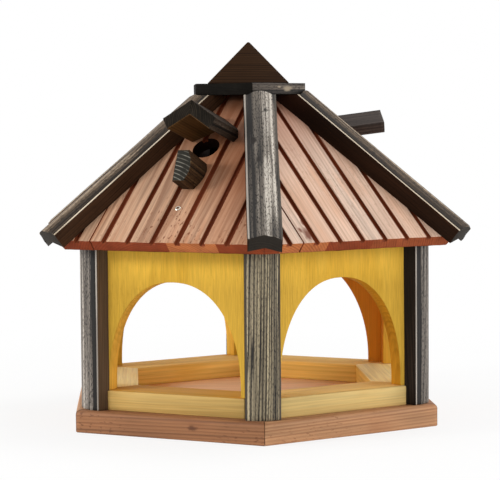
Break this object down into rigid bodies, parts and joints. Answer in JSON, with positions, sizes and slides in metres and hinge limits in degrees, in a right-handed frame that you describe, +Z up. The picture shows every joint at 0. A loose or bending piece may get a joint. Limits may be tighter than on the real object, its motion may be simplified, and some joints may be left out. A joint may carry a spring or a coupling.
{
  "type": "bird house with nest room in the roof",
  "caption": "Six-sided wooden bird house: an open feeding room with arched walls under a grooved hollow roof with small canopied nest entrances.",
  "frame": {"origin": "middle of the base's underside", "axes": "+Z up; -Y towards the front corner, between the two faces that the picture shows"},
  "size_m": [0.4852, 0.5453, 0.4394],
  "materials": {
    "brown_wood": "matt",
    "yellow_wood": "matt",
    "roof_wood": "matt",
    "dark_wood": "matt"
  },
  "bodies": {
    "root": {"base_board_1": "brown_wood", "base_board_2": "brown_wood", "base_board_3": "brown_wood", "base_board_4": "brown_wood", "base_board_5": "brown_wood", "base_board_6": "brown_wood", "floor_panel": "brown_wood", "sill_1": "yellow_wood", "sill_2": "yellow_wood", "sill_3": "yellow_wood", "sill_4": "yellow_wood", "sill_5": "yellow_wood", "sill_6": "yellow_wood", "arch_wall_1": "yellow_wood", "arch_wall_2": "yellow_wood", "arch_wall_3": "yellow_wood", "arch_wall_4": "yellow_wood", "arch_wall_5": "yellow_wood", "arch_wall_6": "yellow_wood", "nest_floor": "yellow_wood", "roof_panel_1": "roof_wood", "roof_panel_2": "roof_wood", "roof_panel_3": "roof_wood", "roof_panel_4": "roof_wood", "roof_panel_5": "roof_wood", "roof_panel_6": "roof_wood", "post_1": "dark_wood", "post_2": "dark_wood", "post_3": "dark_wood", "post_4": "dark_wood", "post_5": "dark_wood", "post_6": "dark_wood", "hip_1": "dark_wood", "hip_2": "dark_wood", "hip_3": "dark_wood", "hip_4": "dark_wood", "hip_5": "dark_wood", "hip_6": "dark_wood", "top_plate": "dark_wood", "finial": "dark_wood", "canopy_1": "dark_wood", "canopy_3": "dark_wood", "canopy_5": "dark_wood", "perches": "dark_wood"}
  },
  "joints": []
}
